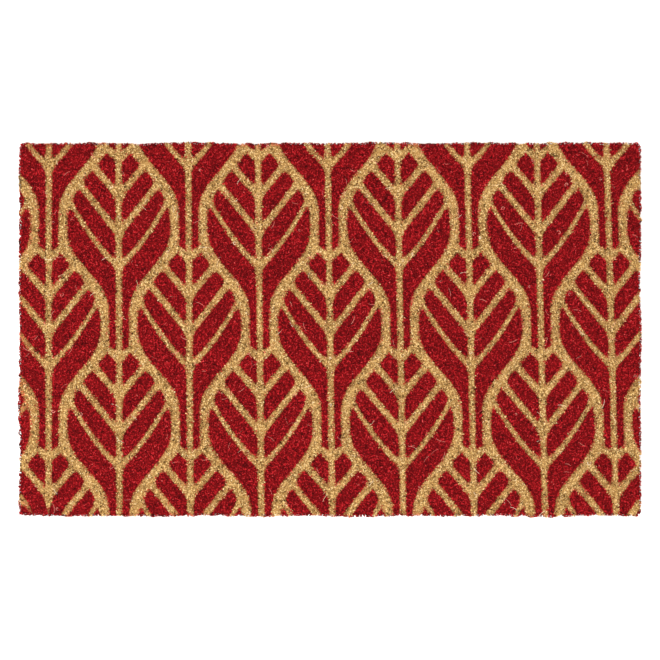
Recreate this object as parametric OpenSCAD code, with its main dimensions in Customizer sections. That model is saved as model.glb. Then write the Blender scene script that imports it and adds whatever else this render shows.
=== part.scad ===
// Woven coir door mat: a plain weave of coir yarns that grips rows of upright coir
// tufts, sheared flat, with a plaited coir edging sewn round the four sides.
// Origin at the centre of the underside, +X along the long side, +Z up. Millimetres.

/* [Mat] */
// Length of the mat over its pile
mat_length = 762; // [500:1:1000]
// Depth of the mat over its pile
mat_depth = 457; // [320:1:640]
// Height from the floor to the sheared top of the pile
mat_height = 19; // [14:0.5:40]

/* [Base weave] */
// Diameter of a chain yarn, which runs from front to back
chain_d = 3; // [2:0.1:3.6]
// Diameter of the weft yarn, which runs from side to side
weft_d = 3; // [2:0.1:3.6]
// Number of chain pairs along the length
chain_pairs = 30; // [12:1:40]
// Distance between the centres of the two yarns of a chain pair
pair_spacing = 3.6; // [3.6:0.1:5]

/* [Pile] */
// Number of tuft rows from front to back
pile_rows = 50; // [20:1:50]
// Gap between neighbouring tuft rows
row_gap = 0.3; // [0.1:0.1:1]
// Side clearance between a tuft root and the yarns that grip it
root_play = 0.2; // [0.1:0.05:0.4]
// Height of the underside of the tuft roots above the floor
root_lift = 0.8; // [0.3:0.1:2]
// How far the pile spreads out past the edging
pile_overhang = 2.5; // [0:0.1:6]
// Height over which the outer pile leans out
lean_height = 5; // [1:0.5:8]
// Size of the worn bevel round the top edge of the pile
edge_bevel = 1.2; // [0.2:0.1:3]

/* [Edging] */
// Thickness of the plaited edging, measured outwards
braid_w = 8; // [5:0.5:12]
// Radius of the long corners of the edging
braid_round = 2; // [0.5:0.1:2.4]
// Width of one sewing stitch along the edging
stitch_w = 2.5; // [1:0.1:4]
// Thickness of the flattened sewing yarn
stitch_t = 1.2; // [0.6:0.1:1.5]

/* [Hidden] */
$fn = 48;

// A cutter runs this far past the face that it cuts
cut_past = 1;
// A tuft root runs this far up into its own row, so that the two are one solid
root_lap = 1;

// The weave fills what the edging and the pile's overhang leave of the mat
fabric_length = mat_length - 2 * (pile_overhang + braid_w);
fabric_depth = mat_depth - 2 * (pile_overhang + braid_w);

// The yarns lie in three layers: lower chain, weft, upper chain
base_height = 2 * chain_d + weft_d;
lower_chain_z = chain_d / 2;
weft_z = chain_d + weft_d / 2;
upper_chain_z = base_height - chain_d / 2;

// The outer wall of the pile leans out, stands upright, and ends in the bevel. On a
// very short pile the wall limits the bevel and the lean.
pile_height = mat_height - base_height;
bevel = min(edge_bevel, pile_height / 3);
lean = min(lean_height, pile_height - 1.25 * bevel);

// One pass of weft lies on each side of every tuft row
row_pitch = (fabric_depth - weft_d) / pile_rows;
pair_pitch = fabric_length / chain_pairs;

// The weft turns back at the sides, with each turn just touching the edging
turn_x = fabric_length / 2 - weft_d / 2 - row_pitch / 2;

// A turn of the weft bends towards the stitch in it, which stands off by this much
turn_inner_r = (row_pitch - weft_d) / 2;
turn_sag = turn_inner_r - sqrt(max(0, pow(turn_inner_r, 2) - pow(stitch_w / 2, 2)));

// A stitch wraps the edging and the weft next to it
stitch_span = braid_w + weft_d + turn_sag + stitch_t;

YARN = "burlywood";
EDGING = "peru";
SEWING = "wheat";
PILE = "firebrick";

function row_name(i) = str("pile_row_", i < 9 ? "0" : "", i + 1);
function pick_y(j) = -(fabric_depth - weft_d) / 2 + j * row_pitch;
function row_y(i) = pick_y(i) + row_pitch / 2;
function pair_x(k) = -fabric_length / 2 + (k + 0.5) * pair_pitch;
function gap_x(k) = pair_x(k) + pair_pitch / 2;

// Even turns are on the right and odd turns on the left
function turn_side(i) = i % 2 == 0 ? 1 : -1;

// ---- Chain yarns ----

module chain_yarns(offset_x, z) {
    for (k = [0 : chain_pairs - 1])
        translate([pair_x(k) + offset_x, -fabric_depth / 2, z])
            rotate([-90, 0, 0])
                cylinder(d = chain_d, h = fabric_depth);
}

module lower_chain_yarns() {
    color(YARN) chain_yarns(-pair_spacing / 2, lower_chain_z);
}

module upper_chain_yarns() {
    color(YARN) chain_yarns(pair_spacing / 2, upper_chain_z);
}

// ---- Weft yarn: one yarn that runs back and forth ----

module weft_pass(j, from_x, to_x) {
    translate([from_x, pick_y(j), weft_z])
        rotate([0, 90, 0])
            cylinder(d = weft_d, h = to_x - from_x);
}

module weft_turn(i) {
    translate([turn_side(i) * turn_x, row_y(i), weft_z])
        rotate([0, 0, -90 * turn_side(i)])
            rotate_extrude(angle = 180)
                translate([row_pitch / 2, 0]) circle(d = weft_d);
}

module weft_yarn() {
    last_end = -turn_side(pile_rows - 1);
    color(YARN) union() {
        for (j = [0 : pile_rows])
            weft_pass(j, -turn_x, turn_x);
        for (i = [0 : pile_rows - 1])
            weft_turn(i);
        // the two free ends run on to the edging
        weft_pass(0, -fabric_length / 2, -turn_x);
        if (last_end > 0)
            weft_pass(pile_rows, turn_x, fabric_length / 2);
        else
            weft_pass(pile_rows, -fabric_length / 2, -turn_x);
    }
}

// ---- Pile rows ----

// Outline of the pile between two edges, each of which may be an outer edge of the mat
module pile_outline(low, high, low_is_outer, high_is_outer) {
    low_foot = low_is_outer ? low + pile_overhang : low;
    high_foot = high_is_outer ? high - pile_overhang : high;
    low_bevel = low_is_outer ? bevel : 0;
    high_bevel = high_is_outer ? bevel : 0;
    polygon([
        [low_foot, base_height],
        [low, base_height + lean],
        [low, mat_height - low_bevel],
        [low + low_bevel, mat_height],
        [high - high_bevel, mat_height],
        [high, mat_height - high_bevel],
        [high, base_height + lean],
        [high_foot, base_height]
    ]);
}

// The roots stand in the gaps between the chain pairs and between two weft passes
module tuft_roots(low, high) {
    side_gap = pair_spacing / 2 + chain_d / 2 + root_play;
    for (k = [0 : chain_pairs]) {
        left = k == 0 ? -turn_x : pair_x(k - 1) + side_gap;
        right = k == chain_pairs ? turn_x : pair_x(k) - side_gap;
        translate([left, low, root_lift])
            cube([right - left, high - low, base_height + root_lap - root_lift]);
    }
}

module pile_row(i) {
    first = i == 0;
    last = i == pile_rows - 1;
    low = first ? -mat_depth / 2 : pick_y(i) + row_gap / 2;
    high = last ? mat_depth / 2 : pick_y(i + 1) - row_gap / 2;
    // the stitches take up room next to the first and the last pass of weft
    stitch_room = turn_sag + stitch_t;
    root_low = pick_y(i) + weft_d / 2 + root_play + (first ? stitch_room : 0);
    root_high = pick_y(i + 1) - weft_d / 2 - root_play - (last ? stitch_room : 0);
    color(PILE) union() {
        intersection() {
            rotate([90, 0, 90])
                linear_extrude(mat_length, center = true)
                    pile_outline(low, high, first, last);
            rotate([90, 0, 0])
                linear_extrude(mat_depth, center = true)
                    pile_outline(-mat_length / 2, mat_length / 2, true, true);
        }
        tuft_roots(root_low, root_high);
    }
}

// ---- Edging and its stitches ----
// Both are drawn for a side that runs along X, with the weave at v > 0 and the
// edging's outer face at v = -braid_w, then turned to their side of the mat.

module rounded_rectangle(size_u, size_v, radius) {
    translate([radius, 0]) square([size_u - 2 * radius, size_v]);
    translate([0, radius]) square([size_u, size_v - 2 * radius]);
    for (u = [radius, size_u - radius], v = [radius, size_v - radius])
        translate([u, v]) circle(r = radius);
}

module braid_bar(run) {
    rotate([90, 0, 90])
        linear_extrude(run, center = true)
            translate([-braid_w, 0]) rounded_rectangle(braid_w, base_height, braid_round);
}

// What the stitch encloses: the core of the edging and the weft beside it
module stitch_core() {
    translate([stitch_t - braid_w, stitch_t])
        square([stitch_span - 2 * stitch_t, base_height - 2 * stitch_t]);
}

module stitch(x) {
    translate([x, 0, 0]) rotate([90, 0, 90]) linear_extrude(stitch_w, center = true)
        difference() {
            translate([-braid_w, 0]) rounded_rectangle(stitch_span, base_height, braid_round);
            stitch_core();
        }
}

module stitch_groove(x) {
    translate([x, 0, 0]) rotate([90, 0, 90]) linear_extrude(stitch_w, center = true)
        difference() {
            translate([-braid_w - cut_past, -cut_past])
                square([stitch_span + 2 * cut_past, base_height + 2 * cut_past]);
            stitch_core();
        }
}

// Front and back stitches fall midway between chain pairs
module long_stitches(groove) {
    for (k = [0 : chain_pairs - 2])
        if (groove) stitch_groove(gap_x(k));
        else stitch(gap_x(k));
}

// Side stitches pass through the turns of the weft, every second turn on one side
module side_stitches(side, groove) {
    for (i = [0 : pile_rows - 1])
        if (turn_side(i) == side)
            if (groove) stitch_groove(side * row_y(i));
            else stitch(side * row_y(i));
}

module on_front() { translate([0, -fabric_depth / 2, 0]) children(); }
module on_back() { mirror([0, 1, 0]) on_front() children(); }
module on_right() { translate([fabric_length / 2, 0, 0]) rotate([0, 0, 90]) children(); }
module on_left() { translate([-fabric_length / 2, 0, 0]) rotate([0, 0, -90]) children(); }

module long_braid() {
    difference() {
        braid_bar(fabric_length + 2 * braid_w);
        long_stitches(true);
    }
}

module side_braid(side) {
    difference() {
        braid_bar(fabric_depth);
        side_stitches(side, true);
    }
}

module front_braid() { color(EDGING) on_front() long_braid(); }
module back_braid() { color(EDGING) on_back() long_braid(); }
module left_braid() { color(EDGING) on_left() side_braid(-1); }
module right_braid() { color(EDGING) on_right() side_braid(1); }

module edge_stitches() {
    color(SEWING) {
        on_front() long_stitches(false);
        on_back() long_stitches(false);
        on_left() side_stitches(-1, false);
        on_right() side_stitches(1, false);
    }
}

lower_chain_yarns();
weft_yarn();
upper_chain_yarns();
for (i = [0 : pile_rows - 1])
    pile_row(i);
front_braid();
back_braid();
left_braid();
right_braid();
edge_stitches();
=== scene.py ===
import math

import bpy
import numpy as np
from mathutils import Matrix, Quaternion, Vector


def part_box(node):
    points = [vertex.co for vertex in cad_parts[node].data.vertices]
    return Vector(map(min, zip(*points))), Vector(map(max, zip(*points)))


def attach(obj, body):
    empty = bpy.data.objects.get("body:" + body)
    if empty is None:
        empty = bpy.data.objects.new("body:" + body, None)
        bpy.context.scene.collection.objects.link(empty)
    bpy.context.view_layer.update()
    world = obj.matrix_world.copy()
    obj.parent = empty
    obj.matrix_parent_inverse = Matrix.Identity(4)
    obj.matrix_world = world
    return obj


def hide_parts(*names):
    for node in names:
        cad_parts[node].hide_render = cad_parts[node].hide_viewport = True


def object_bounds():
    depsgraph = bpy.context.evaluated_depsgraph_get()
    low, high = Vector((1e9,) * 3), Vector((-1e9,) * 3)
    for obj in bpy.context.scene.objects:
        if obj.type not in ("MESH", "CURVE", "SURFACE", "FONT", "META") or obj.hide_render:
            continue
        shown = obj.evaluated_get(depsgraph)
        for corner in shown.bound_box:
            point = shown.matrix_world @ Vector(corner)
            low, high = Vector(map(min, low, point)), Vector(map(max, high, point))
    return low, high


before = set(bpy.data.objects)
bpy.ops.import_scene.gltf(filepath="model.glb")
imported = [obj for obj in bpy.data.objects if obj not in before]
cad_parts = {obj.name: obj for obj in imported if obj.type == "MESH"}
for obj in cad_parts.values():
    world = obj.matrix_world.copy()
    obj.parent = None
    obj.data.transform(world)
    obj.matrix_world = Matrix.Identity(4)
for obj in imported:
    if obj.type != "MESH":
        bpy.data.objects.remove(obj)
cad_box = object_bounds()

mm = 0.001
scene = bpy.context.scene
body = "root"

# ---- The studio ----
# The mat lies on a plain pale floor. The light is even and soft all round, with one
# wide lamp high over the front left. The camera looks straight down with a long lens.

lamp_place = (-0.9, -0.8, 2.2)
lamp_size = 1.6
lamp_power = 31.0
sky_strength = 1.78
floor_half = 5.0
floor_albedo = (0.93, 0.93, 0.925, 1.0)
floor_roughness = 0.9

view_width = 809.4 * mm
view_centre = (0.0, -0.7 * mm)
lens = 150.0
sensor = 36.0
far_clip = 50.0

scene.view_settings.view_transform = "Standard"
scene.world = bpy.data.worlds.new("sky")
scene.world.use_nodes = True
sky = scene.world.node_tree.nodes["Background"]
sky.inputs["Color"].default_value = (1, 1, 1, 1)
sky.inputs["Strength"].default_value = sky_strength

lamp_data = bpy.data.lights.new("lamp", "AREA")
lamp_data.shape = "DISK"
lamp_data.size = lamp_size
lamp_data.energy = lamp_power
lamp = bpy.data.objects.new("lamp", lamp_data)
lamp.location = lamp_place
lamp.rotation_euler = (-lamp.location).to_track_quat("-Z", "Y").to_euler()
scene.collection.objects.link(lamp)

floor_mesh = bpy.data.meshes.new("floor")
floor_mesh.from_pydata(
    [(x * floor_half, y * floor_half, 0) for x, y in ((-1, -1), (1, -1), (1, 1), (-1, 1))],
    [],
    [(0, 1, 2, 3)],
)
floor_finish = bpy.data.materials.new("pale floor")
floor_finish.use_nodes = True
floor_shader = floor_finish.node_tree.nodes["Principled BSDF"]
floor_shader.inputs["Base Color"].default_value = floor_albedo
floor_shader.inputs["Roughness"].default_value = floor_roughness
floor_mesh.materials.append(floor_finish)
floor = bpy.data.objects.new("floor", floor_mesh)
scene.collection.objects.link(floor)

mat_top = cad_box[1].z
camera_data = bpy.data.cameras.new("camera")
camera_data.lens = lens
camera_data.sensor_width = sensor
camera_data.clip_end = far_clip
camera = bpy.data.objects.new("camera", camera_data)
camera.location = (*view_centre, mat_top + view_width * lens / sensor)
scene.collection.objects.link(camera)
scene.camera = camera


# ---- Chain yarns ----
# Sixty coir yarns run from front to back in thirty pairs. Each is two plies of coir
# fibre twisted together, and the two of a pair change places over and under each
# pass of weft, which is what locks the weave.

class Wire:
    """The output socket of a node. Sums on it add Math nodes to the same tree."""

    def __init__(self, tree, socket):
        self.tree = tree
        self.socket = socket

    @classmethod
    def node(cls, tree, kind, settings=(), inputs=(), output=0):
        """Adds a node, sets its settings and then its inputs, and gives one output."""
        made = tree.nodes.new(kind)
        for name, value in dict(settings).items():
            if name == "stops":
                cls.set_stops(made.color_ramp, value)
            else:
                setattr(made, name, value)
        for name, value in dict(inputs).items():
            several = value if isinstance(value, list) else [value]
            for one in several:
                if isinstance(one, Wire):
                    tree.links.new(one.socket, made.inputs[name])
                else:
                    made.inputs[name].default_value = one
        return cls(tree, made.outputs[output])

    @staticmethod
    def set_stops(ramp, stops):
        """Gives a new ramp its places and colours."""
        while len(ramp.elements) < len(stops):
            ramp.elements.new(1.0)
        for element, (place, colour) in zip(ramp.elements, stops):
            element.position = place
            element.color = (*colour, 1.0)

    def output(self, name):
        """Another output of the node that this one comes from."""
        return Wire(self.tree, self.socket.node.outputs[name])

    def maths(self, operation, *values):
        return Wire.node(
            self.tree, "ShaderNodeMath", {"operation": operation}, dict(enumerate(values))
        )

    def __add__(self, other):
        return self.maths("ADD", self, other)

    def __sub__(self, other):
        return self.maths("SUBTRACT", self, other)

    def __mul__(self, other):
        return self.maths("MULTIPLY", self, other)

    def __truediv__(self, other):
        return self.maths("DIVIDE", self, other)

    def __rsub__(self, other):
        return self.maths("SUBTRACT", other, self)

    def __rtruediv__(self, other):
        return self.maths("DIVIDE", other, self)

    def __abs__(self):
        return self.maths("ABSOLUTE", self)

    def __mod__(self, other):
        return self.maths("FLOORED_MODULO", self, other)

    __radd__ = __add__
    __rmul__ = __mul__

    def lesser(self, other):
        return self.maths("MINIMUM", self, other)

    def greater(self, other):
        return self.maths("MAXIMUM", self, other)

    def rise(self, low, high, curve="SMOOTHSTEP"):
        """0 up to low and 1 past high, with a smooth rise between."""
        return Wire.node(
            self.tree,
            "ShaderNodeMapRange",
            {"interpolation_type": curve},
            {"Value": self, "From Min": low, "From Max": high},
        )

    def mix(self, low, high, blend="MIX"):
        """The colour low where this is 0 and high, or its blend with low, where it is 1."""
        return Wire.node(
            self.tree,
            "ShaderNodeMix",
            {"data_type": "RGBA", "blend_type": blend},
            {0: self, 6: low, 7: high},
            output=2,
        )


def new_finish(name, shine):
    """An empty material, its node tree and its shader."""
    finish = bpy.data.materials.new(name)
    finish.use_nodes = True
    shader = finish.node_tree.nodes["Principled BSDF"]
    shader.inputs["Specular IOR Level"].default_value = shine
    return finish, finish.node_tree, shader


# the look of a coir yarn, with the sizes of its noise in bumps per metre
yarn_shine = 0.2
streaks_across = 1400
streak_stretch = 0.22
yarn_patches = 90.0
streak_share = 0.75
yarn_stops = (0.33, 0.5, 0.66)
fibre_tones = (0.3, 0.7)
yarn_roughness = 0.95
light_fibre_gloss = -0.15
yarn_bump = 0.7
yarn_bump_depth = 0.5 * mm


def yarn_finish(name, run, dark, middle, light):
    """Twisted coir: fibres as fine streaks along the run; the streaks that sink in the bump are
    the darker ones, partly the fibres' own random tone and partly painted shade in the furrows.
    """
    finish, tree, shader = new_finish(name, yarn_shine)
    place = Wire.node(tree, "ShaderNodeTexCoord", output="Object")
    streak_scale = tuple(
        streaks_across * (streak_stretch if axis == run else 1) for axis in "xyz"
    )
    stretched = Wire.node(
        tree, "ShaderNodeVectorMath", {"operation": "MULTIPLY"}, {0: place, 1: streak_scale}
    )
    streak = Wire.node(tree, "ShaderNodeTexNoise", (), {"Vector": stretched, "Scale": 1.0})
    patch = Wire.node(
        tree, "ShaderNodeTexNoise", (), {"Vector": place, "Scale": yarn_patches, "Detail": 1.0}
    )
    # the streak noise drives both colour and bump, so the furrows get painted shade along with the
    # fibres' random tone
    tone = streak * streak_share + patch * (1 - streak_share)
    ramp = Wire.node(
        tree,
        "ShaderNodeValToRGB",
        {"stops": list(zip(yarn_stops, (dark, middle, light)))},
        {"Fac": tone},
    )
    rough = tone.rise(*fibre_tones) * light_fibre_gloss + yarn_roughness
    bump = Wire.node(
        tree,
        "ShaderNodeBump",
        (),
        {"Height": streak, "Strength": yarn_bump, "Distance": yarn_bump_depth},
    )
    tree.links.new(ramp.socket, shader.inputs["Base Color"])
    tree.links.new(rough.socket, shader.inputs["Roughness"])
    tree.links.new(bump.socket, shader.inputs["Normal"])
    return finish


def new_tree(name, sockets):
    """A geometry tree with named inputs, and a wire from each input."""
    tree = bpy.data.node_groups.new(name, "GeometryNodeTree")
    tree.interface.new_socket("Geometry", in_out="OUTPUT", socket_type="NodeSocketGeometry")
    for label, kind in sockets:
        tree.interface.new_socket(label, in_out="INPUT", socket_type="NodeSocket" + kind)
    start = tree.nodes.new("NodeGroupInput")
    return tree, {label: Wire(tree, start.outputs[label]) for label, _ in sockets}


def end_tree(tree, geometry, finish):
    """Realize Instances, Set Material and the group's output."""
    real = Wire.node(tree, "GeometryNodeRealizeInstances", (), {0: geometry})
    dressed = Wire.node(
        tree, "GeometryNodeSetMaterial", (), {"Geometry": real, "Material": finish}
    )
    end = tree.nodes.new("NodeGroupOutput")
    tree.links.new(dressed.socket, end.inputs[0])


def grown(source, tree, values):
    """The plain mesh that a geometry tree makes from an object, which is then removed."""
    modifier = source.modifiers.new("grow", "NODES")
    modifier.node_group = tree
    for item in tree.interface.items_tree:
        if item.in_out == "INPUT" and item.name in values:
            modifier[item.identifier] = values[item.name]
    source.update_tag()
    bpy.context.view_layer.update()
    evaluated = source.evaluated_get(bpy.context.evaluated_depsgraph_get())
    mesh = bpy.data.meshes.new_from_object(evaluated)
    source.modifiers.remove(modifier)
    bpy.data.objects.remove(source)
    return mesh


yarn_lumps = 160.0


def yarn_tree(finish):
    """A twisted yarn round a path: two plies show as a long and a short radius."""
    tree, given = new_tree(
        "spun yarn",
        [
            ("Geometry", "Geometry"),
            ("Diameter", "Float"),
            ("Flatness", "Float"),
            ("Sides", "Int"),
            ("Ring spacing", "Float"),
            ("Twist length", "Float"),
            ("Unevenness", "Float"),
        ],
    )
    path = Wire.node(
        tree,
        "GeometryNodeResampleCurve",
        {"mode": "LENGTH"},
        {"Curve": given["Geometry"], "Length": given["Ring spacing"]},
    )
    run = Wire.node(tree, "GeometryNodeSplineParameter", output="Length")
    tilted = Wire.node(
        tree,
        "GeometryNodeSetCurveTilt",
        (),
        {"Curve": path, "Tilt": run / given["Twist length"] * (2 * math.pi)},
    )
    lumps = Wire.node(tree, "ShaderNodeTexNoise", (), {"Scale": yarn_lumps, "Detail": 1.0})
    swollen = Wire.node(
        tree,
        "GeometryNodeSetCurveRadius",
        (),
        {"Curve": tilted, "Radius": 1 + (lumps - 0.5) * given["Unevenness"]},
    )
    ring = Wire.node(
        tree,
        "GeometryNodeCurvePrimitiveCircle",
        (),
        {"Resolution": given["Sides"], "Radius": given["Diameter"] * 0.5},
    )
    squash = Wire.node(
        tree, "ShaderNodeCombineXYZ", (), {"X": 1.0, "Y": given["Flatness"], "Z": 1.0}
    )
    lobed = Wire.node(
        tree, "GeometryNodeTransform", (), {"Geometry": ring, "Scale": squash}
    )
    tube = Wire.node(
        tree,
        "GeometryNodeCurveToMesh",
        (),
        {"Curve": swollen, "Profile Curve": lobed, "Fill Caps": True},
    )
    end_tree(tree, tube, finish)
    return tree


def spun(paths, finish, closed=False, **sizes):
    """The mesh of yarns that follow paths, each a list of points."""
    curve = bpy.data.curves.new("paths", "CURVE")
    curve.dimensions = "3D"
    for path in paths:
        spline = curve.splines.new("POLY")
        spline.points.add(len(path) - 1)
        spline.points.foreach_set("co", [c for point in path for c in (*point, 1.0)])
        spline.use_cyclic_u = closed
    source = bpy.data.objects.new("paths", curve)
    scene.collection.objects.link(source)
    values = {name.replace("_", " ").capitalize(): value for name, value in sizes.items()}
    mesh = grown(source, yarn_tree(finish), values)
    mesh.shade_smooth()
    return mesh


def placed(name, mesh, nodes):
    """A finished piece, which rides on the mat and stands for some of its CAD nodes."""
    piece = bpy.data.objects.new(name, mesh)
    scene.collection.objects.link(piece)
    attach(piece, body)
    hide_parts(*nodes)
    return piece


yarn_dark = (0.16, 0.072, 0.024)
yarn_middle = (0.40, 0.215, 0.082)
yarn_light = (0.62, 0.395, 0.175)

lower_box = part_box("lower_chain_yarns")
upper_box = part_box("upper_chain_yarns")
weft_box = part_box("weft_yarn")
chain_d = lower_box[1].z - lower_box[0].z
weft_d = weft_box[1].z - weft_box[0].z
weft_z = (weft_box[0].z + weft_box[1].z) / 2
chain_squeeze = 0.93
chain_swing = chain_squeeze * (weft_z - chain_d / 2)
fabric_half = weft_box[1].x
front_pick = weft_box[0].y + weft_d / 2
pile_rows = sum(name.startswith("pile_row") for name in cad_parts)
row_pitch = -2 * front_pick / pile_rows
chain_pairs = 30
pair_pitch = 2 * fabric_half / chain_pairs
pair_half = (upper_box[0].x - lower_box[0].x) / 2
points_per_pass = 4


def pair_x(k):
    return -fabric_half + (k + 0.5) * pair_pitch


def chain_path(x, side):
    """A chain yarn's middle, which waves over one weft pass and under the next."""
    ends = lower_box[0].y, lower_box[1].y
    count = pile_rows * points_per_pass
    path = []
    for y in np.linspace(*ends, count + 1):
        wave = math.cos(math.pi * (y - front_pick) / row_pitch)
        path.append((x, y, weft_z - side * chain_swing * wave))
    return path


chain_finish = yarn_finish("chain yarn coir", "y", yarn_dark, yarn_middle, yarn_light)
for name, side, node in (
    ("left_chain_yarns", 1, "lower_chain_yarns"),
    ("right_chain_yarns", -1, "upper_chain_yarns"),
):
    mesh = spun(
        [chain_path(pair_x(k) - side * pair_half, side) for k in range(chain_pairs)],
        chain_finish,
        diameter=chain_d,
        flatness=0.8,
        sides=6,
        ring_spacing=2.4 * mm,
        twist_length=17 * mm,
        unevenness=0.12,
    )
    placed(name, mesh, [node])


# ---- Weft yarn ----
# One long coir yarn runs back and forth between the chain yarns, with a pass on each
# side of every row of tufts. It turns back at the two sides of the mat.

turn_points = 5
weft_step = 24 * mm
turn_x = fabric_half - weft_d / 2 - row_pitch / 2


def weft_path():
    """The weft's middle: a pass, a turn and the next pass, from front to back."""
    path = [(-fabric_half, front_pick, weft_z)]
    for j in range(pile_rows + 1):
        y = front_pick + j * row_pitch
        way = 1 if j % 2 == 0 else -1
        path += [(way * x, y, weft_z) for x in np.arange(-turn_x, turn_x, weft_step)]
        path.append((way * turn_x, y, weft_z))
        if j < pile_rows:
            for angle in np.linspace(-90, 90, turn_points + 2)[1:-1]:
                reach = row_pitch / 2 * math.cos(math.radians(angle))
                along = row_pitch / 2 * math.sin(math.radians(angle))
                path.append((way * (turn_x + reach), y + row_pitch / 2 + along, weft_z))
    last_way = 1 if pile_rows % 2 == 0 else -1
    path.append((last_way * fabric_half, y, weft_z))
    return path


weft_finish = yarn_finish("weft yarn coir", "x", yarn_dark, yarn_middle, yarn_light)
weft_mesh = spun(
    [weft_path()],
    weft_finish,
    diameter=weft_d,
    flatness=0.8,
    sides=6,
    ring_spacing=4.2 * mm,
    twist_length=25 * mm,
    unevenness=0.12,
)
placed("weft_yarn_spun", weft_mesh, ["weft_yarn"])


# ---- Pile ----
# Tufts of coir stand in rows between the weft passes, bent round under the weave at
# their roots, and are sheared level on top. Red dye is brushed through a leaf stencil
# on to the tips: it reaches only the top few millimetres and thins out at the edges.

mat_half_x = cad_box[1].x
mat_half_y = cad_box[1].y
base_top = upper_box[1].z

# the stencil, in millimetres: columns of leaves, every second one half a leaf lower. It
# lies a little askew, tilted and wider at the front, as a worn hand stencil does.
leaf_columns = 86.3
leaf_length = 245.25
leaf_top_y = 341.7
stencil_skew = 0.0126
stencil_taper = 3.87e-5
stencil_tilt = 0.00126
leaf_half_width = 62.8
leaf_shoulder = 12.0
leaf_belly = 88.0
belly_power = 1.03
stalk_half_width = 11.4
patch_corner = 9.0
waist_start = 91.0
waist_end = 203.0
rib_half_width = 4.3
stalk_end = 246.0
stalk_slope = 0.6
tip_start = 18.0
tip_slope = 1.05
# a slanting edge is nearer than the way straight across or down to it, by these shares
side_slant = 0.75
vein_slant = 0.63
stalk_slant = 0.8
tip_slant = 0.7
# a vein's height at the rib, its fall to the side, the curve of that fall, half its width
veins = ((55.8, 1.205, 0.0, 7.6), (101.1, 1.255, 0.0, 7.35), (142.2, 0.864, 0.00786, 6.0))


def leaf_depth(aside, down):
    """How far inside a leaf's dyed patches a point is: aside of the rib, below the tip."""
    shoulder = (down + leaf_shoulder) / (leaf_belly + leaf_shoulder)
    arc = shoulder.greater(0.0).lesser(1.0) * (math.pi / 2)
    upper = arc.maths("POWER", arc.maths("SINE", arc), belly_power) * leaf_half_width
    fall = down.rise(waist_start, waist_end, "SMOOTHERSTEP")
    lower = leaf_half_width - fall * (leaf_half_width - stalk_half_width)
    is_lower = down.maths("GREATER_THAN", down, leaf_belly)
    half_width = upper + is_lower * (lower - upper)
    depth = ((half_width - aside) * side_slant).lesser(aside - rib_half_width)
    for height, slope, curve, half in veins:
        vein = height - aside * slope - aside * aside * curve
        beside_vein = (abs(down - vein) - half) * vein_slant
        depth = depth.maths("SMOOTH_MIN", depth, beside_vein, patch_corner)
    depth = depth.lesser((stalk_end - aside * stalk_slope - down) * stalk_slant)
    return depth.lesser((down - (tip_start - aside * tip_slope)) * tip_slant)


def print_depth(x, y):
    """How far inside the dyed patches a point of the mat is, in millimetres."""
    width = leaf_columns * (1 - y * stencil_taper)
    column = (x + y * stencil_skew) / width
    nearest = column.maths("FLOOR", column + 0.5)
    aside = abs(column - nearest) * leaf_columns
    fall = (leaf_top_y - y + x * stencil_tilt) / leaf_length - (nearest % 2.0) * 0.5
    down = (fall % 1.0) * leaf_length
    next_down = ((fall + 0.5) % 1.0) * leaf_length
    return leaf_depth(aside, down).greater(leaf_depth(leaf_columns - aside, next_down))


# from the darkest fibres to the palest; past 0.8 are the stray ones that lie on top
coir_stops = [
    (0.00, (0.040, 0.016, 0.005)),
    (0.11, (0.120, 0.054, 0.014)),
    (0.22, (0.500, 0.280, 0.084)),
    (0.42, (0.775, 0.505, 0.188)),
    (0.64, (0.760, 0.545, 0.245)),
    (0.80, (0.770, 0.600, 0.335)),
    (0.95, (0.950, 0.820, 0.600)),
]
dye_stops = [
    (0.00, (0.025, 0.001, 0.001)),
    (0.13, (0.085, 0.002, 0.003)),
    (0.35, (0.325, 0.007, 0.009)),
    (0.64, (0.485, 0.013, 0.018)),
    (0.80, (0.600, 0.035, 0.042)),
    (0.95, (0.800, 0.270, 0.210)),
]
overspray_tint = (0.82, 0.19, 0.20, 1.0)

# noise in the fibres and the dye, in bumps per millimetre
grain_scale = 1.6
ragged_scale = 0.38
blotch_scale = 0.09
drift_scale = 0.013

# the print's edge: how far the dye bleeds, and how far noise and thirsty fibres move it
dye_bleed = 1.45
ragged_bleed = 2.4
thirst_bleed = 2.0
print_blur = 0.7

# the dye's depth: how far it soaks down from the tips, and how much farther at the rim
dye_reach = 5.0
reach_blur = 2.5
thirst_reach = 2.0
dyed_rim = 5.0
rim_soak = 4.0

# the corner at the front left, where the stencil lay loose and dye crept under it
creep_front = (3.0, 17.0)
creep_side = (35.0, 60.0)
creep_depth = 3.8

# the mist of dye that drifted past the print: along the mat's edges, beside the loose
# part of the stencil, and in the two corners at the left
edge_fade = 10.0
least_fade = 0.5
edge_wander = 6.0
fade_drift = (0.42, 0.7)
haze_reach = 5.0
haze_side = (2.0, 30.0)
haze_slope = 1.4
haze_spread = 0.12
haze_drift = (0.3, 0.5)
corner_mist = (8.0, 36.0)
corner_stretch = 1.2
corner_strength = 0.8
mist_weight = 1.2
blotch_weight = 0.6
thirst_weight = 0.9
spray_window = (1.05, 2.0)
spray_strength = 0.9

pile_shine = 0.08
pile_roughness = 0.95
pale_fibre_gloss = 0.2
pile_bump = 0.5
pile_bump_depth = 0.4 * mm
grain_contrast = 1.1
blotch_contrast = 0.2
shade_span = 0.72


def from_edge(x, y):
    """How far a point of the mat is from its nearest edge, in millimetres."""
    return (mat_half_x / mm - abs(x)).lesser(mat_half_y / mm - abs(y))


def from_front_left(x, y):
    """How far a point is from the mat's left edge and from its front edge."""
    return x + mat_half_x / mm, y + mat_half_y / mm


def crept(x, y):
    """1 where dye crept under the loose part of the stencil, and 0 elsewhere."""
    from_left, from_front = from_front_left(x, y)
    return (1 - from_front.rise(*creep_front)) * (1 - from_left.rise(*creep_side))


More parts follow.
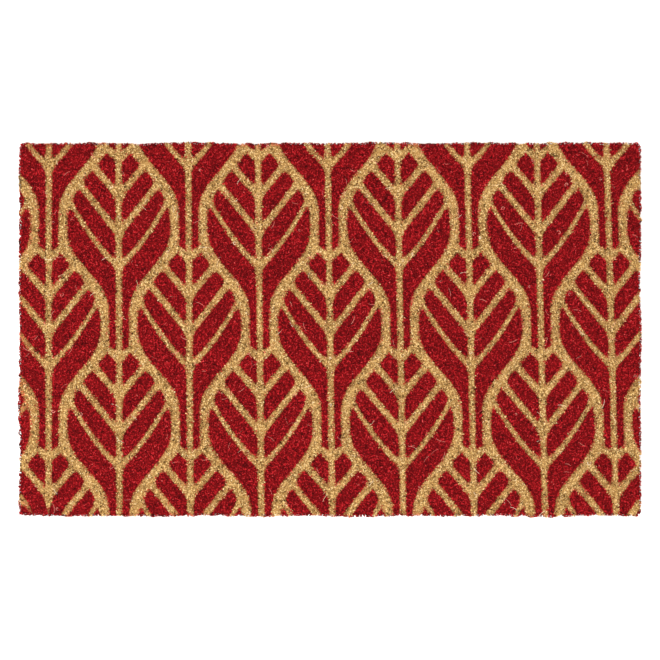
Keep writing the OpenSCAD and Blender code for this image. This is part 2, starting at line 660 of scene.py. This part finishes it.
def mist(x, y, depth, ragged, blotch, drift, thirst):
    """How much dye drifted on to the fibres that the stencil covered, from 0 to 1."""
    from_left, from_front = from_front_left(x, y)
    edge = from_edge(x, y)
    fade = edge_fade * drift.rise(*fade_drift) + least_fade
    at_edge = 1 - ((edge + (ragged - 0.5) * edge_wander) / fade).rise(0.0, 1.0)
    loose = from_left.lesser(from_front * haze_slope + from_left * haze_spread)
    near_loose = 1 - loose.rise(*haze_side)
    near_print = depth.rise(-haze_reach, 0.0) * near_loose * drift.rise(*haze_drift)
    from_corner = (from_left * corner_stretch).greater(mat_half_y / mm - abs(y))
    in_corner = 1 - from_corner.rise(*corner_mist)
    misted = at_edge.greater(near_print).greater(in_corner * corner_strength)
    spray = misted * mist_weight + blotch * blotch_weight + thirst * thirst_weight
    return spray.rise(*spray_window)


def dye_soak(x, y, z, thirst):
    """1 where the dye reaches down a fibre, and 0 below."""
    at_rim = 1 - from_edge(x, y).rise(0.0, dyed_rim)
    level = mat_top / mm - dye_reach
    height = z + at_rim * rim_soak + (thirst - 0.5) * thirst_reach
    return height.rise(level - reach_blur, level)


def pile_finish():
    """Coir with the leaf print dyed into its tips."""
    finish, tree, shader = new_finish("dyed coir pile", pile_shine)
    place = Wire.node(tree, "ShaderNodeTexCoord", output="Object")
    root = Wire.node(tree, "ShaderNodeAttribute", {"attribute_name": "root"}, output="Vector")
    in_mm, root_in_mm = (
        Wire.node(
            tree, "ShaderNodeVectorMath", {"operation": "SCALE"}, {0: point, "Scale": 1 / mm}
        )
        for point in (place, root)
    )
    x = Wire.node(tree, "ShaderNodeSeparateXYZ", (), {0: root_in_mm})
    y = x.output("Y")
    z = Wire.node(tree, "ShaderNodeSeparateXYZ", (), {0: in_mm}, output="Z")
    # the tone holds each fibre's own random tone and also painted shade: darker between tufts and
    # on the bed under the strands
    tone = Wire.node(tree, "ShaderNodeAttribute", {"attribute_name": "tone"}, output="Fac")
    thirst = Wire.node(tree, "ShaderNodeAttribute", {"attribute_name": "thirst"}, output="Fac")
    ragged, blotch, drift, grain = (
        Wire.node(
            tree, "ShaderNodeTexNoise", (), {"Vector": in_mm, "Scale": scale, "Detail": detail}
        )
        for scale, detail in (
            (ragged_scale, 2.0),
            (blotch_scale, 2.0),
            (drift_scale, 1.0),
            (grain_scale, 2.0),
        )
    )

    depth = print_depth(x, y) + dye_bleed
    depth = depth + (ragged - 0.5) * ragged_bleed + (thirst - 0.5) * thirst_bleed
    depth = depth + crept(x, y) * creep_depth
    dyed = depth.rise(-print_blur, print_blur)
    reach = dye_soak(x, y, z, thirst)
    spray = mist(x, y, depth, ragged, blotch, drift, thirst)

    varied = tone + (grain - 0.5) * grain_contrast + (blotch - 0.5) * blotch_contrast
    shade = varied * shade_span
    coir = Wire.node(tree, "ShaderNodeValToRGB", {"stops": coir_stops}, {"Fac": shade})
    dye = Wire.node(tree, "ShaderNodeValToRGB", {"stops": dye_stops}, {"Fac": shade})
    sprayed = (spray * reach * spray_strength).mix(coir, overspray_tint, "MULTIPLY")
    colour = (dyed * reach).mix(sprayed, dye)
    rough = pile_roughness - tone * pale_fibre_gloss
    bump = Wire.node(
        tree,
        "ShaderNodeBump",
        (),
        {"Height": grain, "Strength": pile_bump, "Distance": pile_bump_depth},
    )
    tree.links.new(colour.socket, shader.inputs["Base Color"])
    tree.links.new(rough.socket, shader.inputs["Roughness"])
    tree.links.new(bump.socket, shader.inputs["Normal"])
    return finish


band_rows = 5
bed_drop = 3.3 * mm
bed_inset = 0.8 * mm
bed_round = 3.0 * mm
bed_lump = 0.5 * mm
# the bed stands for the fibres deep in the pile and gets a dark tone: painted shade between the
# strands
bed_shade_tone = 0.3
bed_overlap = 0.2 * mm
bed_step = 6.0 * mm
bed_lines = 8
bed_round_points = 5
bed_lump_size = 9 * mm
bed_floor = base_top + 0.1 * mm
bed_skirt = 0.05 * mm
overhang = mat_half_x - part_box("right_braid")[1].x
lean_height = 5.0 * mm
rim_width = 8.0 * mm
scallop = 0.9 * mm
tooth = 0.6 * mm
mean_swell = 0.6
pile_proud = 0.6 * mm
trimmed = 0.85
cut_wave = 0.35 * mm
cut_wave_size = 14 * mm
# the uneven outline: a lump's length along the edge, its height, and its random seed
outline_lumps = ((110 * mm, 1.7 * mm, 3), (18 * mm, 1.3 * mm, 4), (8 * mm, 0.8 * mm, 5))
corner_r = 5.0 * mm
bake_map = "OFBake"
bed_share = 0.12
bed_fill = 0.9
noise_waves = 6
wave_spread = (0.6, 1.6)


def smooth_noise(x, y, size, seed):
    """Gentle bumps between -1 and 1, about a size across, the same in every run."""
    draw = np.random.default_rng(seed)
    total = np.zeros_like(x)
    for _ in range(noise_waves):
        angle = draw.uniform(0, 2 * np.pi)
        wave = draw.uniform(*wave_spread) / size
        phase = draw.uniform(0, 2 * np.pi)
        total += np.sin((x * np.cos(angle) + y * np.sin(angle)) * wave * 2 * np.pi + phase)
    return total / noise_waves


def to_outline(x, y, z):
    """Bends the pile's rim to the mat's outline: full at a tuft, slack between two, round
    at the corners, and drawn in towards the weave below."""
    front_full = np.abs(np.cos(np.pi * (x + fabric_half) / pair_pitch)) - mean_swell
    side_full = np.abs(np.sin(np.pi * (y - front_pick) / row_pitch)) - mean_swell
    bulge_x = pile_proud + tooth * side_full
    bulge_y = pile_proud + scallop * front_full
    for size, height, seed in outline_lumps:
        bulge_x += height * smooth_noise(y, np.sign(x) * size, size, seed)
        bulge_y += height * smooth_noise(x, np.sign(y) * size, size, seed + 10)
    drawn_in = overhang * (1 - np.clip((z - base_top) / lean_height, 0, 1))
    moved = []
    for place, half, bulge in ((x, mat_half_x, bulge_x), (y, mat_half_y, bulge_y)):
        over = np.maximum(np.abs(place) - half, 0)
        near = np.clip(1 - (half - np.abs(place)) / rim_width, 0, 1)
        moved.append(np.abs(place) - over * trimmed + (bulge - drawn_in) * near)
    corner = moved[0] - (mat_half_x - corner_r), moved[1] - (mat_half_y - corner_r)
    both = (corner[0] > 0) & (corner[1] > 0)
    reach = np.where(both, np.hypot(*corner), 1.0)
    pull = np.where(both, np.maximum(*corner) / reach, 1.0)
    x[:] = np.sign(x) * np.where(both, mat_half_x - corner_r + corner[0] * pull, moved[0])
    y[:] = np.sign(y) * np.where(both, mat_half_y - corner_r + corner[1] * pull, moved[1])


def bed_mesh(low_y, high_y, at_front, at_back):
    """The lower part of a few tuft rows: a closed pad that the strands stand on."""
    left, right = -mat_half_x + bed_inset, mat_half_x - bed_inset
    low = low_y + bed_inset if at_front else low_y - bed_overlap
    high = high_y - bed_inset if at_back else high_y + bed_overlap
    corner = bed_round * (1 - np.cos(np.linspace(0, np.pi / 2, bed_round_points)))
    across = np.linspace(left + bed_round, right - bed_round, round(2 * right / bed_step))
    xs = np.concatenate([left + corner[:-1], across, right - corner[-2::-1]])
    ys = np.linspace(low + bed_round * at_front, high - bed_round * at_back, bed_lines)
    if at_front:
        ys = np.concatenate([low + corner[:-1], ys])
    if at_back:
        ys = np.concatenate([ys, high - corner[-2::-1]])
    x, y = np.meshgrid(xs, ys)
    inside = np.minimum(x - left, right - x)
    if at_front:
        inside = np.minimum(inside, y - low)
    if at_back:
        inside = np.minimum(inside, high - y)
    fall = 1 - np.clip(inside / bed_round, 0, 1)
    crown = mat_top - bed_drop + bed_lump * smooth_noise(x, y, bed_lump_size, 1)
    z = bed_floor + (crown - bed_floor) * np.sqrt(np.maximum(1 - fall**2, 0.0))
    rows, columns = x.shape
    top = np.stack([x, y, z], axis=-1).reshape(-1, 3)
    number = np.arange(rows * columns).reshape(rows, columns)
    quads = np.stack(
        [number[:-1, :-1], number[:-1, 1:], number[1:, 1:], number[1:, :-1]], axis=-1
    ).reshape(-1, 4)
    around = list(number[0, :-1]) + list(number[:-1, -1])
    around += list(number[-1, :0:-1]) + list(number[:0:-1, 0])
    under = top[around].copy()
    under[:, 2] = bed_floor - bed_skirt
    first = len(top)
    sides = []
    for i in range(len(around)):
        j = (i + 1) % len(around)
        sides.append((around[j], around[i], first + i, first + j))
    base = tuple(first + i for i in reversed(range(len(around))))
    mesh = bpy.data.meshes.new("bed")
    mesh.from_pydata(np.concatenate([top, under]), [], list(map(tuple, quads)) + sides + [base])
    grows = mesh.attributes.new("grows", "BOOLEAN", "FACE")
    grows.data.foreach_set("value", [i < len(quads) for i in range(len(mesh.polygons))])
    # the bed's low tone is painted shade under the strands
    tone = mesh.attributes.new("tone", "FLOAT", "POINT")
    tone.data.foreach_set("value", [bed_shade_tone] * len(mesh.vertices))
    root = mesh.attributes.new("root", "FLOAT_VECTOR", "POINT")
    root.data.foreach_set("vector", [c for v in mesh.vertices for c in v.co])
    return mesh


# a cell of the map: the sides of a blunt strand fill it up to here, its cut tip the rest
cut_level = 0.84
cut_places = [(0.55, 0.88), (0.93, 0.88), (0.74, 1.0)]


def strand_object(name, path, radii, blunt):
    """A three-sided fibre along a path, from a pointed root to a cut or a pointed tip."""
    sides = 3
    path = [Vector(point) for point in path]
    rings = len(path) - 1 if blunt else len(path) - 2
    across = Vector((1, 0, 0))
    points = [path[0]]
    for r in range(1, rings + 1):
        ahead = path[min(r + 1, len(path) - 1)]
        along = (ahead - path[r - 1]).normalized()
        across = (across - along * across.dot(along)).normalized()
        for i in range(sides):
            turn = Quaternion(along, 2 * math.pi * i / sides)
            points.append(path[r] + turn @ across * radii[r])
    top = cut_level if blunt else 1.0
    faces, places = [], []
    for i in range(sides):
        j = (i + 1) % sides
        left, right, middle = i / sides, (i + 1) / sides, (i + 0.5) / sides
        level = top / (len(path) - 1)
        faces.append((0, 1 + j, 1 + i))
        places += [(middle, 0), (right, level), (left, level)]
        for r in range(rings - 1):
            a, b = 1 + r * sides, 1 + (r + 1) * sides
            low, high = level * (r + 1), level * (r + 2)
            faces.append((a + i, a + j, b + j, b + i))
            places += [(left, low), (right, low), (right, high), (left, high)]
        last = 1 + (rings - 1) * sides
        if not blunt:
            faces.append((last + i, last + j, len(points)))
            places += [(left, level * rings), (right, level * rings), (middle, 1)]
    if blunt:
        faces.append(tuple(range(last, last + sides)))
        places += cut_places
    else:
        points.append(path[-1])
    mesh = bpy.data.meshes.new(name)
    mesh.from_pydata(points, [], faces)
    layer = mesh.uv_layers.new(name=bake_map)
    layer.uv.foreach_set("vector", [c for place in places for c in place])
    mesh.shade_smooth()
    strand = bpy.data.objects.new(name, mesh)
    scene.collection.objects.link(strand)
    strand.hide_render = True
    return strand


most_strands = 4.0e6
tuft_disorder = 0.9
girths = (0.65, 1.35)
heights = (0.8, 1.2)
gap_drop = 0.35
tones = (-0.1, 1.1)
strand_contrast = 0.72
tuft_contrast = 0.34
gap_shade = 0.2


def pile_tree(strands, finish):
    """Strands stand on the bed, packed evenly, each with its own lean, size and tone; the tone is
    darker between tufts, painted shade in the gaps.
    """
    tree, given = new_tree(
        "standing coir",
        [
            ("Geometry", "Geometry"),
            ("Spacing", "Float"),
            ("Thickness", "Float"),
            ("Length", "Float"),
            ("Lean", "Float"),
            ("Fan", "Float"),
            ("Tuft size", "Float"),
            ("Gather", "Float"),
            ("Stray share", "Float"),
            ("Curl share", "Float"),
            ("Seed", "Int"),
        ],
    )
    grows = Wire.node(
        tree,
        "GeometryNodeInputNamedAttribute",
        {"data_type": "BOOLEAN"},
        {"Name": "grows"},
    )
    spread = Wire.node(
        tree,
        "GeometryNodeDistributePointsOnFaces",
        {"distribute_method": "POISSON"},
        {
            "Mesh": given["Geometry"],
            "Selection": grows,
            "Distance Min": given["Spacing"],
            "Density Max": most_strands,
            "Seed": given["Seed"],
        },
    )
    normal = spread.output("Normal")

    def chance(low, high, seed, vector=False):
        first = 0 if vector else 2
        return Wire.node(
            tree,
            "FunctionNodeRandomValue",
            {"data_type": "FLOAT_VECTOR" if vector else "FLOAT"},
            {first: low, first + 1: high, "Seed": given["Seed"] + seed},
            output=0 if vector else 1,
        )

    def vector_maths(operation, first, second):
        name = "Scale" if operation == "SCALE" else 1
        return Wire.node(
            tree, "ShaderNodeVectorMath", {"operation": operation}, {0: first, name: second}
        )

    fanned = vector_maths("SCALE", normal, given["Fan"])
    upright = vector_maths("ADD", fanned, (0.0, 0.0, 1.0))
    wander = vector_maths(
        "SCALE", chance((-1, -1, 0), (1, 1, 0), 1, vector=True), given["Lean"]
    )
    position = Wire.node(tree, "GeometryNodeInputPosition")
    flat = Wire.node(
        tree, "ShaderNodeVectorMath", {"operation": "MULTIPLY"}, {0: position, 1: (1, 1, 0)}
    )
    tuft = Wire.node(
        tree,
        "ShaderNodeTexVoronoi",
        {"voronoi_dimensions": "2D"},
        {"Vector": flat, "Scale": 1 / given["Tuft size"], "Randomness": tuft_disorder},
        output="Position",
    )
    off_centre = tuft.output("Distance")
    to_centre = vector_maths("SCALE", vector_maths("SUBTRACT", tuft, flat), given["Gather"])
    heading = vector_maths("ADD", vector_maths("ADD", upright, wander), to_centre)
    aligned = Wire.node(
        tree, "FunctionNodeAlignRotationToVector", {"axis": "Z"}, {"Vector": heading}
    )
    spin = Wire.node(tree, "ShaderNodeCombineXYZ", (), {"Z": chance(0, 2 * math.pi, 2)})
    turned = Wire.node(
        tree,
        "FunctionNodeRotateRotation",
        {"rotation_space": "LOCAL"},
        {"Rotation": aligned, "Rotate By": spin},
    )
    girth = given["Thickness"] * chance(*girths, 3)
    height = given["Length"] * (chance(*heights, 4) - off_centre.rise(0.3, 0.7) * gap_drop)
    scale = Wire.node(
        tree, "ShaderNodeCombineXYZ", (), {"X": girth, "Y": girth, "Z": height}
    )
    shapes = [
        Wire.node(
            tree,
            "GeometryNodeObjectInfo",
            (),
            {"Object": strand, "As Instance": True},
            output="Geometry",
        )
        for strand in strands
    ]
    # a socket that takes several links reads the last one first
    choice = Wire.node(
        tree, "GeometryNodeGeometryToInstance", (), {"Geometry": shapes[::-1]}
    )
    stray = off_centre.maths("LESS_THAN", chance(0, 1, 7), given["Stray share"])
    curled = stray * off_centre.maths("LESS_THAN", chance(0, 1, 9), given["Curl share"])
    # cut or fine for most of them, and long or curled for the stray ones
    kind_of = off_centre.maths("FLOOR", chance(0, 1.999, 8)) * (1 - stray) + stray * 2 + curled
    standing = Wire.node(
        tree,
        "GeometryNodeInstanceOnPoints",
        (),
        {
            "Points": spread,
            "Instance": choice,
            "Pick Instance": True,
            "Instance Index": kind_of,
            "Rotation": turned,
            "Scale": scale,
        },
    )
    index = Wire.node(tree, "GeometryNodeInputIndex")
    tuft_tone = Wire.node(tree, "ShaderNodeSeparateXYZ", (), {0: tuft.output("Color")})
    tuft_thirst = tuft_tone.output("Y")
    # strands between tufts get a darker tone: painted shade in the gaps, added to the real shade
    # from their lower height
    painted_gap_shade_mask = off_centre.rise(0.35, 0.7)
    tone = chance(*tones, 5) * strand_contrast + tuft_tone * tuft_contrast - painted_gap_shade_mask * gap_shade
    for name, kind, value in (
        ("strand", "INT", index + 1),
        ("tone", "FLOAT", tone + stray),
        ("thirst", "FLOAT", chance(0, 1, 6) * 0.5 + tuft_thirst * 0.5),
        ("root", "FLOAT_VECTOR", position),
    ):
        standing = Wire.node(
            tree,
            "GeometryNodeStoreNamedAttribute",
            {"data_type": kind, "domain": "INSTANCE"},
            {"Geometry": standing, "Name": name, "Value": value},
        )
    both = Wire.node(
        tree, "GeometryNodeJoinGeometry", (), {"Geometry": [given["Geometry"], standing]}
    )
    end_tree(tree, both, finish)
    return tree


def shear(mesh):
    """Cuts the tips level, and brings the outer ones to the mat's outline."""
    count = len(mesh.vertices)
    co = np.empty(count * 3, np.float32)
    mesh.vertices.foreach_get("co", co)
    co = co.reshape(-1, 3).astype(float)
    x, y, z = co.T
    to_outline(x, y, z)
    level = mat_top - cut_wave + cut_wave * smooth_noise(x, y, cut_wave_size, 2)
    over = z - level
    z -= np.where(over > 0, over * trimmed, 0)
    mesh.vertices.foreach_set("co", co.astype(np.float32).ravel())


def lay_out_map(mesh, low, high):
    """Gives every strand its own cell of the piece's map, and the bed a strip below."""
    corners = len(mesh.loops)
    points = np.empty(corners, np.int32)
    mesh.loops.foreach_get("vertex_index", points)
    number = np.empty(len(mesh.vertices), np.int32)
    mesh.attributes["strand"].data.foreach_get("value", number)
    co = np.empty(len(mesh.vertices) * 3, np.float32)
    mesh.vertices.foreach_get("co", co)
    co = co.reshape(-1, 3)[points]
    layer = mesh.uv_layers[bake_map]
    uv = np.empty(corners * 2, np.float32)
    layer.uv.foreach_get("vector", uv)
    uv = uv.reshape(-1, 2)
    strand = number[points] - 1
    per_side = math.ceil(math.sqrt((strand.max() + 1) / (1 - bed_share)))
    margin = 0.14
    column = strand % per_side
    line = strand // per_side
    across = (column + margin + uv[:, 0] * (1 - 2 * margin)) / per_side
    up = 1 - (line + 1 - margin - uv[:, 1] * (1 - 2 * margin)) / per_side
    bed_u = (co[:, 0] + mat_half_x) / (2 * mat_half_x)
    bed_v = bed_share * bed_fill * (co[:, 1] - low) / (high - low)
    in_bed = strand < 0
    uv[:, 0] = np.where(in_bed, bed_u, across)
    uv[:, 1] = np.where(in_bed, bed_v, up)
    layer.uv.foreach_set("vector", uv.ravel())


# a fibre's path is in shares of its thickness across and of its length upwards
hair_bends = 8
hair_run = 0.9
hair_bow = 0.0525
hair_climb = 0.02
hair_r = 0.1
hair_path = [(0, 0, 0), (0.2, 0, 0.7)]
for k in range(1, hair_bends + 1):
    hair_path.append((hair_run * k, hair_bow * k * k, 1.0 + hair_climb * k))
curl_step = 38
curl_start = -60
curl_first_r = 0.9
curl_open = 0.13
curl_fibre_r = 0.17
curl_path = [(0, 0, 0), (0.3, -0.4, 0.8)]
for k in range(hair_bends):
    curl_turn = math.radians(curl_start + curl_step * k)
    curl_r = curl_first_r + curl_open * k
    rise = 1 + hair_climb * (k + 1)
    curl_path.append((curl_r * math.cos(curl_turn), curl_r * math.sin(curl_turn), rise))
strands = [
    strand_object(
        "cut strand", [(0, 0, 0), (0.25, 0, 0.55), (1.1, 0, 1.0)], [0, 0.48, 0.36], True
    ),
    strand_object(
        "fine strand", [(0, 0, 0), (0.7, 0, 0.62), (1.5, 0, 1.0)], [0, 0.45, 0], False
    ),
    strand_object("long hair", hair_path, [hair_r] * len(hair_path), False),
    strand_object("curled hair", curl_path, [curl_fibre_r] * len(curl_path), False),
]
pile_coir = pile_finish()
standing_coir = pile_tree(strands, pile_coir)

for band in range(pile_rows // band_rows):
    rows = range(band * band_rows + 1, (band + 1) * band_rows + 1)
    nodes = [f"pile_row_{row:02d}" for row in rows]
    low_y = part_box(nodes[0])[0].y
    high_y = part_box(nodes[-1])[1].y
    at_front = band == 0
    at_back = band == pile_rows // band_rows - 1
    bed = bpy.data.objects.new("bed", bed_mesh(low_y, high_y, at_front, at_back))
    scene.collection.objects.link(bed)
    mesh = grown(
        bed,
        standing_coir,
        {
            "Spacing": 1.12 * mm,
            "Thickness": 1.25 * mm,
            "Length": 4.3 * mm,
            "Lean": 0.5,
            "Fan": 0.7,
            "Tuft size": 2.8 * mm,
            "Gather": 420.0,
            "Stray share": 0.0018,
            "Curl share": 0.15,
            "Seed": 100 + band * 10,
        },
    )
    shear(mesh)
    lay_out_map(mesh, low_y, high_y)
    mesh.name = f"pile_band_{band + 1:02d}"
    placed(mesh.name, mesh, nodes)

for strand in strands:
    bpy.data.objects.remove(strand)


# ---- Edging ----
# A plait of three coir yarns runs along each side, standing on its edge against the
# weave. It hides the ends of the yarns and is covered from above by the pile.

plait_length = 34 * mm
plait_yarn = 4.3 * mm
plait_swell = 1.09
plait_step = 2 * mm


def plait_paths(box, along):
    """The three yarns of one plait, which fills the box of its CAD node."""
    across = 1 - along
    low, high = box
    middle = [(low[i] + high[i]) / 2 for i in range(3)]
    swing = (high.z - low.z - plait_yarn * plait_swell) / 2
    weave = (high[across] - low[across] - plait_yarn) / 2
    paths = []
    for strand in range(3):
        path = []
        ends = low[along] + plait_yarn / 4, high[along] - plait_yarn / 4
        count = round((ends[1] - ends[0]) / plait_step)
        for place in np.linspace(*ends, count):
            turn = 2 * math.pi * (place / plait_length + strand / 3)
            point = [0, 0, middle[2] + swing * math.sin(turn)]
            point[along] = place
            point[across] = middle[across] + weave * math.sin(2 * turn)
            path.append(tuple(point))
        paths.append(path)
    return paths


for side, along in (("front", 0), ("back", 0), ("left", 1), ("right", 1)):
    node = f"{side}_braid"
    braid_coir = yarn_finish(f"{side} plait coir", "xy"[along], yarn_dark, yarn_middle, yarn_light)
    mesh = spun(
        plait_paths(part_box(node), along),
        braid_coir,
        diameter=plait_yarn,
        flatness=0.86,
        sides=8,
        ring_spacing=1.8 * mm,
        twist_length=13 * mm,
        unevenness=0.16,
    )
    placed(f"{side}_plait", mesh, [node])


# ---- Sewing ----
# A flattened coir yarn is whipped round the plait and the weft next to it, one stitch
# midway between chain pairs at the front and back, and one through each turn of the
# weft at the sides.

stitch_thick = 1.2 * mm
stitch_yarn = 2.0 * mm
stitch_slant = 1.2 * mm
stitch_points = 12
stitch_squareness = 4
sewing_light = (0.72, 0.50, 0.25)


def stitch_path(outer, inner, along_place, along, height):
    """A loop round the plait and one pass of weft, with rounded corners."""
    across = 1 - along
    path = []
    half = (abs(inner - outer) - stitch_thick) / 2
    rise = (height - stitch_yarn) / 2
    middle = (outer + inner) / 2
    way = 1 if outer > inner else -1
    for step in range(stitch_points):
        angle = 2 * math.pi * (step + 0.5) / stitch_points
        c, s = math.cos(angle), math.sin(angle)
        square = (abs(c) ** stitch_squareness + abs(s) ** stitch_squareness) ** (
            1 / stitch_squareness
        )
        point = [0, 0, height / 2 + rise * s / square]
        point[across] = middle + way * half * c / square
        point[along] = along_place + stitch_slant * c / square
        path.append(tuple(point))
    return path


def all_stitches():
    """The paths of every stitch along the four sides."""
    paths = []
    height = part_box("front_braid")[1].z
    for side in ("front", "back"):
        low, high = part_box(f"{side}_braid")
        outer, inner = (low.y, high.y) if side == "front" else (high.y, low.y)
        inner += math.copysign(weft_d + stitch_thick, inner - outer)
        for k in range(chain_pairs - 1):
            paths.append(stitch_path(outer, inner, pair_x(k) + pair_pitch / 2, 0, height))
    for side, first in (("right", 0), ("left", 1)):
        low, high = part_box(f"{side}_braid")
        outer, inner = (high.x, low.x) if side == "right" else (low.x, high.x)
        inner += math.copysign(weft_d + stitch_thick, inner - outer)
        for row in range(first, pile_rows, 2):
            y = front_pick + (row + 0.5) * row_pitch
            paths.append(stitch_path(outer, inner, y, 1, height))
    return paths


sewing_finish = yarn_finish("sewing coir", "z", yarn_dark, yarn_middle, sewing_light)
stitch_mesh = spun(
    all_stitches(),
    sewing_finish,
    closed=True,
    diameter=stitch_yarn,
    flatness=0.75,
    sides=6,
    ring_spacing=2.4 * mm,
    twist_length=9 * mm,
    unevenness=0.1,
)
placed("whipped_stitches", stitch_mesh, ["edge_stitches"])
